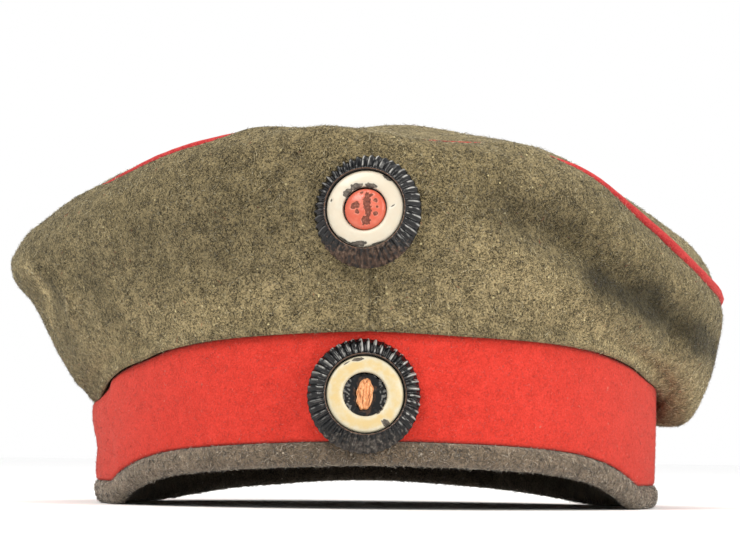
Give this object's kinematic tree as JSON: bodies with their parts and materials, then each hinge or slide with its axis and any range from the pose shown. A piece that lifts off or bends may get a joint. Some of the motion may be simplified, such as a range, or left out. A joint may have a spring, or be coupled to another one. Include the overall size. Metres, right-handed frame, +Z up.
{
  "type": "field cap",
  "caption": "Soft round peakless field cap of grey felted wool with a red band, red crown piping and two round painted cockades, standing on its rim.",
  "frame": {"origin": "on the surface that the cap rests on, under the middle of the cap's box", "axes": "+Z up; the front, with the cockades, faces -Y; +X is the wearer's left"},
  "size_m": [0.2072, 0.2246, 0.107],
  "materials": {
    "felt_grey": "felted wool, field grey flecked with olive and dark fibres, matt",
    "felt_red": "fine red facing felt, matt",
    "cord_red": "red cloth folded over a cord, matt",
    "band_grey": "felted wool, mid grey, matt",
    "black_lacquer": "stamped sheet metal, black lacquer worn to brown at the edges",
    "white_paint": "off-white enamel paint, chipped",
    "red_paint": "orange-red enamel paint, chipped",
    "cream_paint": "cream enamel paint, chipped",
    "brown_fibre": "brown fibrous plug, rough and matt"
  },
  "bodies": {
    "root": {"crown_wall_right": "felt_grey", "crown_wall_left": "felt_grey", "crown_top": "felt_grey", "crown_piping": "cord_red", "red_band": "felt_red", "base_band": "band_grey", "upper_cockade_shell": "black_lacquer", "upper_cockade_ring": "white_paint", "upper_cockade_boss": "red_paint", "lower_cockade_shell": "black_lacquer", "lower_cockade_ring": "cream_paint", "lower_cockade_plug": "brown_fibre"}
  },
  "joints": []
}
